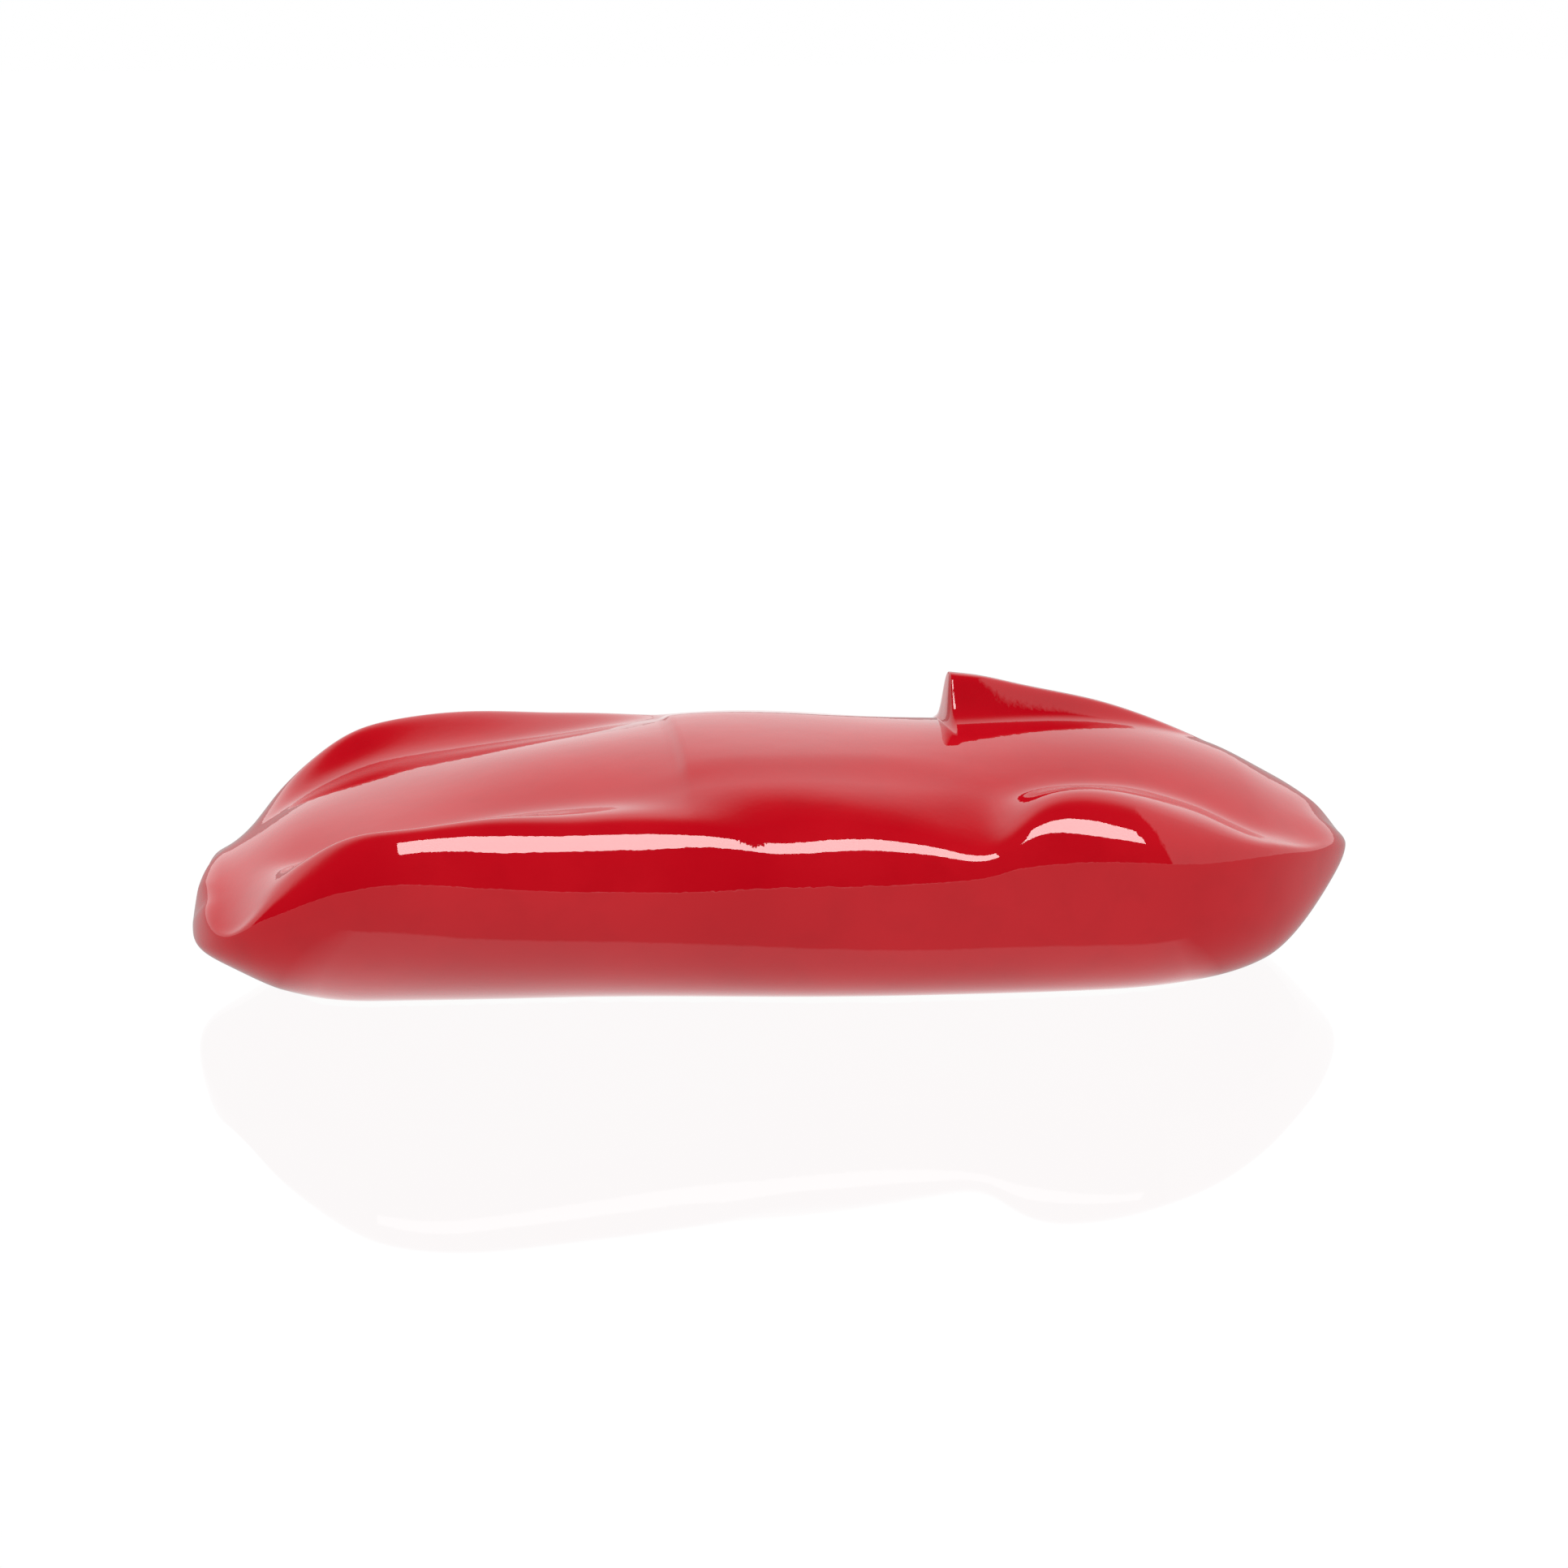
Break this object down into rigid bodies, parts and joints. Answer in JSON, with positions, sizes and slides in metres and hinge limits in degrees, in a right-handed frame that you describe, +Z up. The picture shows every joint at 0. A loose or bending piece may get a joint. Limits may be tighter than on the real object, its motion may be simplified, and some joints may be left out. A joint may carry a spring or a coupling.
{
  "type": "ceramic car ornament",
  "caption": "Glossy glazed ceramic streamlined racing car ornament, hollow, with headrest fairing, base stopper and felt pads",
  "frame": {"origin": "Centre of the bounding box in plan, on the plane of the felt pads' undersides", "axes": "+X from nose to tail, +Y toward the car's right side, +Z up"},
  "size_m": [0.2402, 0.103, 0.0574],
  "materials": {
    "red_glaze": "mirror-gloss deep red glaze, bare bisque underneath",
    "grey_silicone": "matte moulded silicone",
    "black_felt": "pressed felt"
  },
  "bodies": {
    "car_body": {"body_shell": "red_glaze", "felt_pad_front_left": "black_felt", "felt_pad_front_right": "black_felt", "felt_pad_rear_left": "black_felt", "felt_pad_rear_right": "black_felt"},
    "stopper": {"drain_stopper": "grey_silicone"}
  },
  "joints": [
    {"name": "stopper_pull", "type": "slide", "parent": "car_body", "child": "stopper", "axis": [0, 0, -1], "range_m": [0, 0.015]}
  ]
}
